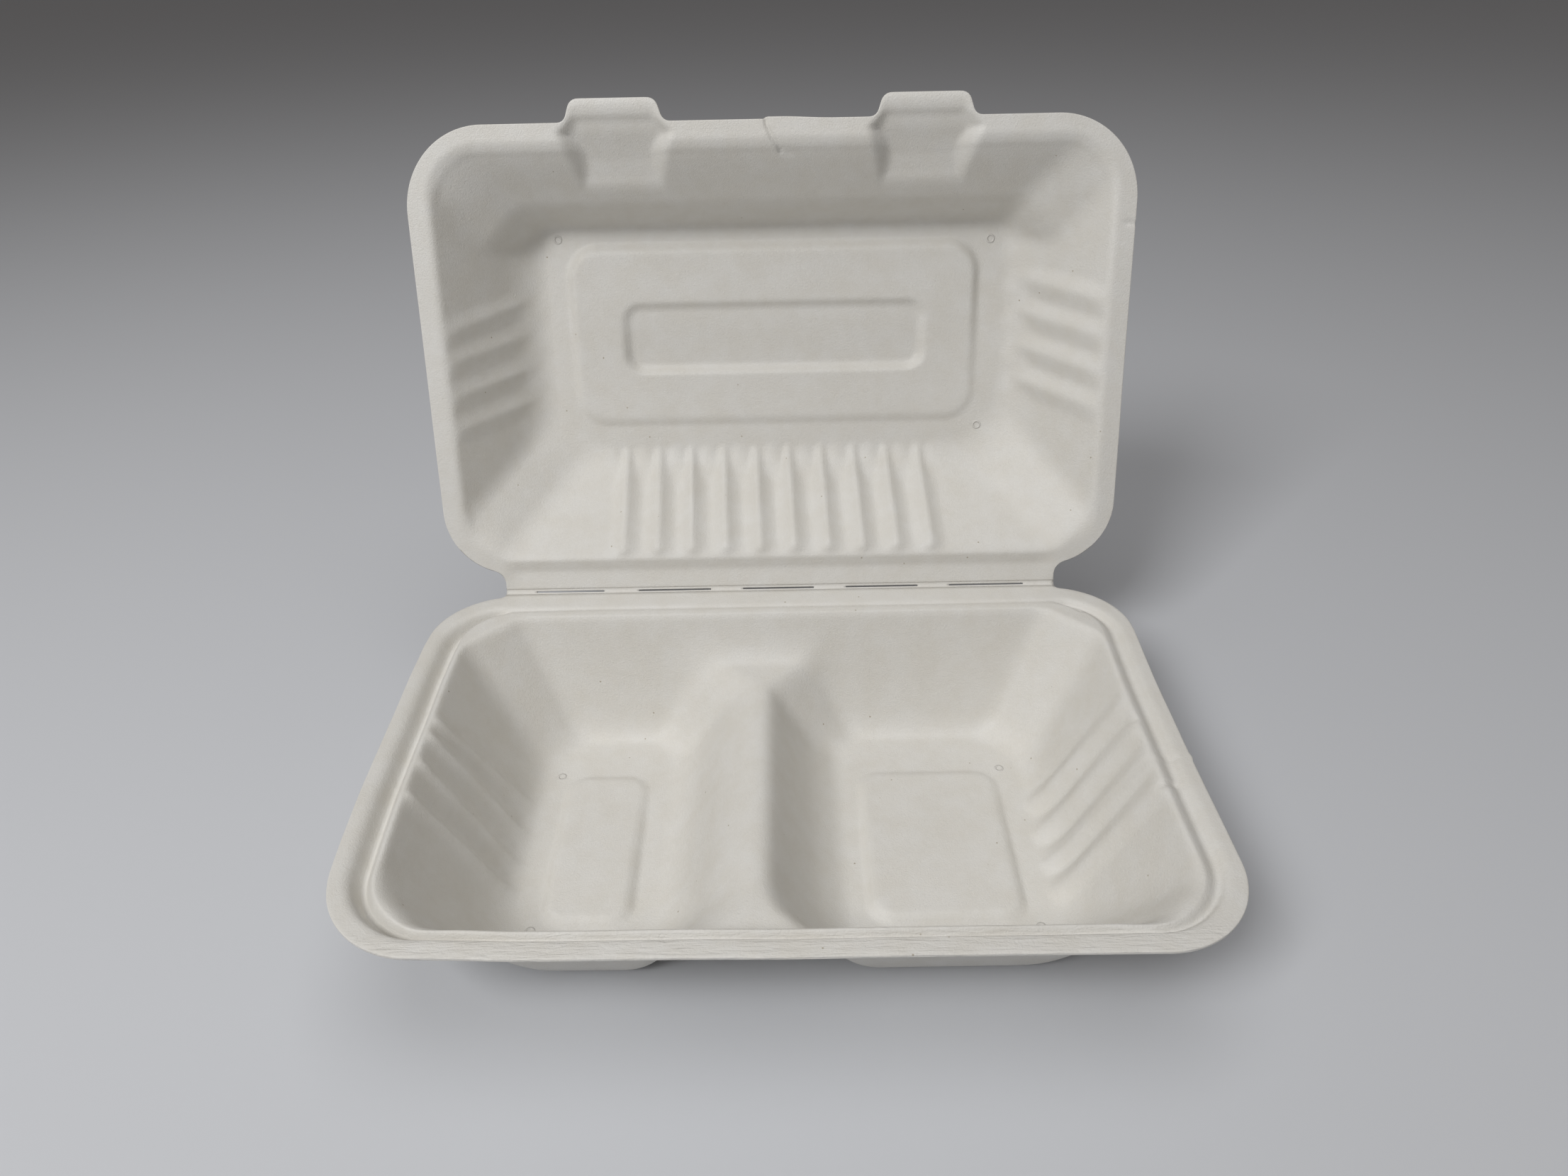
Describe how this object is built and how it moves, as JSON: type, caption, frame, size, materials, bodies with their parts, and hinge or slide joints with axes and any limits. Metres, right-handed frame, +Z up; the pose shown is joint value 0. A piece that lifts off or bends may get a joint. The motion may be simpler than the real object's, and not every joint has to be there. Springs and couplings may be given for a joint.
{
  "type": "bagasse clamshell container",
  "caption": "Hinged food container of moulded sugar-cane fibre, with a divided base tray and a ribbed lid held by tabs.",
  "frame": {"origin": "under the middle of the open container, on the surface it stands on", "axes": "+X to the right along the fold, +Y from the tray's front towards the open lid, +Z up"},
  "size_m": [0.2316, 0.2202, 0.195],
  "materials": {
    "fibre": "matt moulded sugar-cane fibre, unprinted"
  },
  "bodies": {
    "tray": {"base_tray": "fibre"},
    "lid": {"lid": "fibre"}
  },
  "joints": [
    {"name": "lid_hinge", "type": "hinge", "parent": "tray", "child": "lid", "pos_m": [0, 0.04191, 0.04315], "axis": [1, 0, 0], "range_deg": [-73, 107]}
  ]
}
